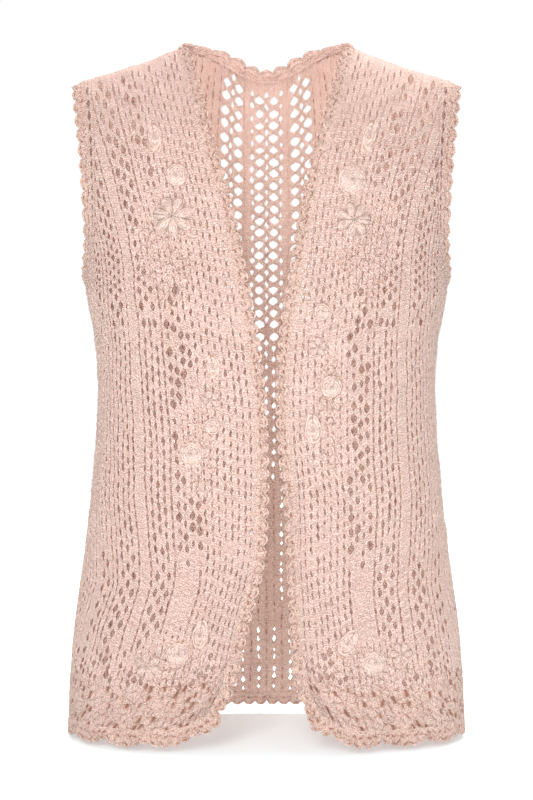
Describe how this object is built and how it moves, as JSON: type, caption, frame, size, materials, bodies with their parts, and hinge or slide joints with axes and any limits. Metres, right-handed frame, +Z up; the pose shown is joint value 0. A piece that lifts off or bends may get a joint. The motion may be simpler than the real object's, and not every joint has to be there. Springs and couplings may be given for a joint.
{
  "type": "crochet vest",
  "caption": "Open-front sleeveless crochet vest with a V-neck, scalloped edges, rounded front corners and raised flower motifs, standing hollow as worn.",
  "frame": {"origin": "midway between the two shoulder seams, level with their neck ends, where a wearer's shoulders hold the vest up", "axes": "+Z up the body; the front faces -Y; +X to the wearer's left, which is the viewer's right"},
  "size_m": [0.3774, 0.2282, 0.6511],
  "materials": {
    "cotton_mesh": "matt blush cotton yarn worked in an openwork crochet mesh",
    "cotton_edging": "matt blush cotton yarn in close shell stitches",
    "cotton_motif": "matt blush cotton yarn in close raised rounds"
  },
  "bodies": {
    "root": {"front_right": "cotton_mesh", "front_left": "cotton_mesh", "back": "cotton_mesh", "front_border_right": "cotton_edging", "front_border_left": "cotton_edging", "back_neck_border": "cotton_edging", "back_hem_border": "cotton_edging", "armhole_border_right": "cotton_edging", "armhole_border_left": "cotton_edging", "chest_flower_right": "cotton_motif", "chest_rosette_right": "cotton_motif", "chest_leaf_right": "cotton_motif", "waist_bud_right": "cotton_motif", "waist_flower_right": "cotton_motif", "waist_rosette_right": "cotton_motif", "waist_leaf_right": "cotton_motif", "hem_flower_right": "cotton_motif", "hem_rosette_right": "cotton_motif", "hem_leaf_right": "cotton_motif", "chest_flower_left": "cotton_motif", "chest_rosette_left": "cotton_motif", "chest_leaf_left": "cotton_motif", "waist_bud_left": "cotton_motif", "waist_flower_left": "cotton_motif", "waist_rosette_left": "cotton_motif", "waist_leaf_left": "cotton_motif", "hem_flower_left": "cotton_motif", "hem_rosette_left": "cotton_motif", "hem_leaf_left": "cotton_motif"}
  },
  "joints": []
}
